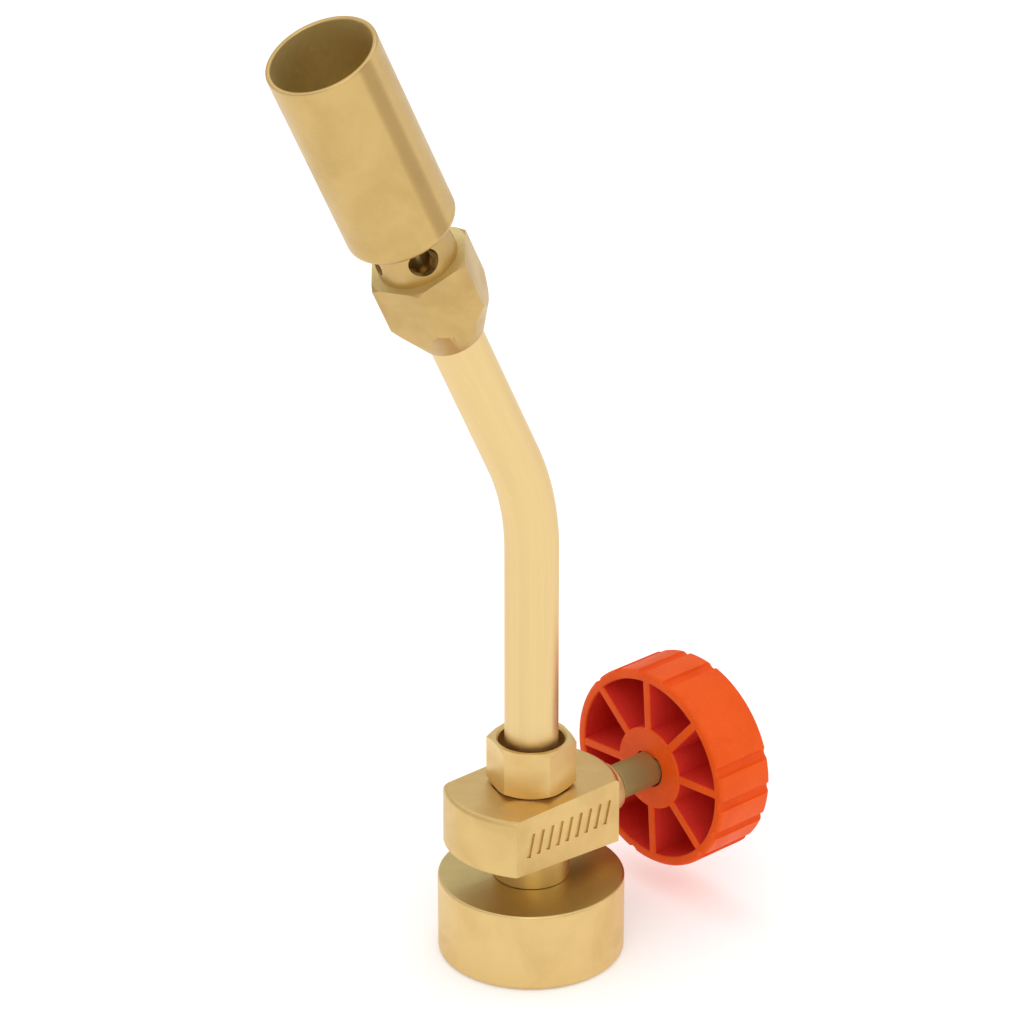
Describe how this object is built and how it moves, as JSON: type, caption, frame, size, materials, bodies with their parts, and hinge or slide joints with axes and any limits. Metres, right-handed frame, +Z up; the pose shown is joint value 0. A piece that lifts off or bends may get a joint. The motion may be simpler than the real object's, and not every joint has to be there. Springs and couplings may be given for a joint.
{
  "type": "lampwork hand torch",
  "caption": "Brass gas torch for small glass work: threaded cylinder coupling, needle valve with spoked orange knob, bent burner tube and flame tube with air holes.",
  "frame": {"origin": "on the plane of the coupling's lower rim, in the middle of the outline seen from above; the coupling's axis is 6.0 mm towards +X from it", "axes": "+Z up the coupling's axis, +X along the valve's axis towards the knob; the burner leans 26.5 degrees towards -X in the XZ plane"},
  "size_m": [0.091, 0.0362, 0.1755],
  "materials": {
    "brass": "satin machined and cast brass",
    "stem_brass": "darker turned brass",
    "knob_plastic": "moulded orange plastic, semi-gloss",
    "seal_rubber": "matt black nitrile",
    "seat_plastic": "off-white sealing plastic",
    "sintered_bronze": "rough sintered bronze",
    "steel": "plated steel",
    "copper": "soft copper sealing washer"
  },
  "bodies": {
    "torch": {"cylinder_coupling": "brass", "inlet_nipple": "brass", "nipple_seal": "copper", "inlet_o_ring": "seal_rubber", "depressor_pin": "steel", "inlet_filter": "sintered_bronze", "filter_ring": "steel", "valve_body": "brass", "gland_gasket": "seat_plastic", "gland_bush": "brass", "tube_nut": "brass", "ferrule": "brass", "burner_tube": "brass", "jet_holder": "brass", "jet_filter": "sintered_bronze", "jet_washer": "copper", "gas_jet": "brass", "flame_tube": "brass", "venturi": "brass", "flame_holder": "brass"},
    "needle": {"seat_tip": "seat_plastic"},
    "spindle": {"valve_stem": "stem_brass", "stem_o_ring_1": "seal_rubber", "stem_o_ring_2": "seal_rubber", "knob": "knob_plastic", "knob_washer": "steel", "knob_screw": "steel"}
  },
  "joints": [
    {"name": "stem_advance", "type": "slide", "parent": "torch", "child": "needle", "axis": [1, 0, 0], "range_m": [0, 0.0015]},
    {"name": "knob_turn", "type": "hinge", "parent": "needle", "child": "spindle", "pos_m": [0.03358, 0, 0.0242], "axis": [1, 0, 0], "range_deg": [0, 540]}
  ],
  "couplings": [
    {"joint": "knob_turn", "follows": "stem_advance", "rad_per_m": 6283.2}
  ]
}
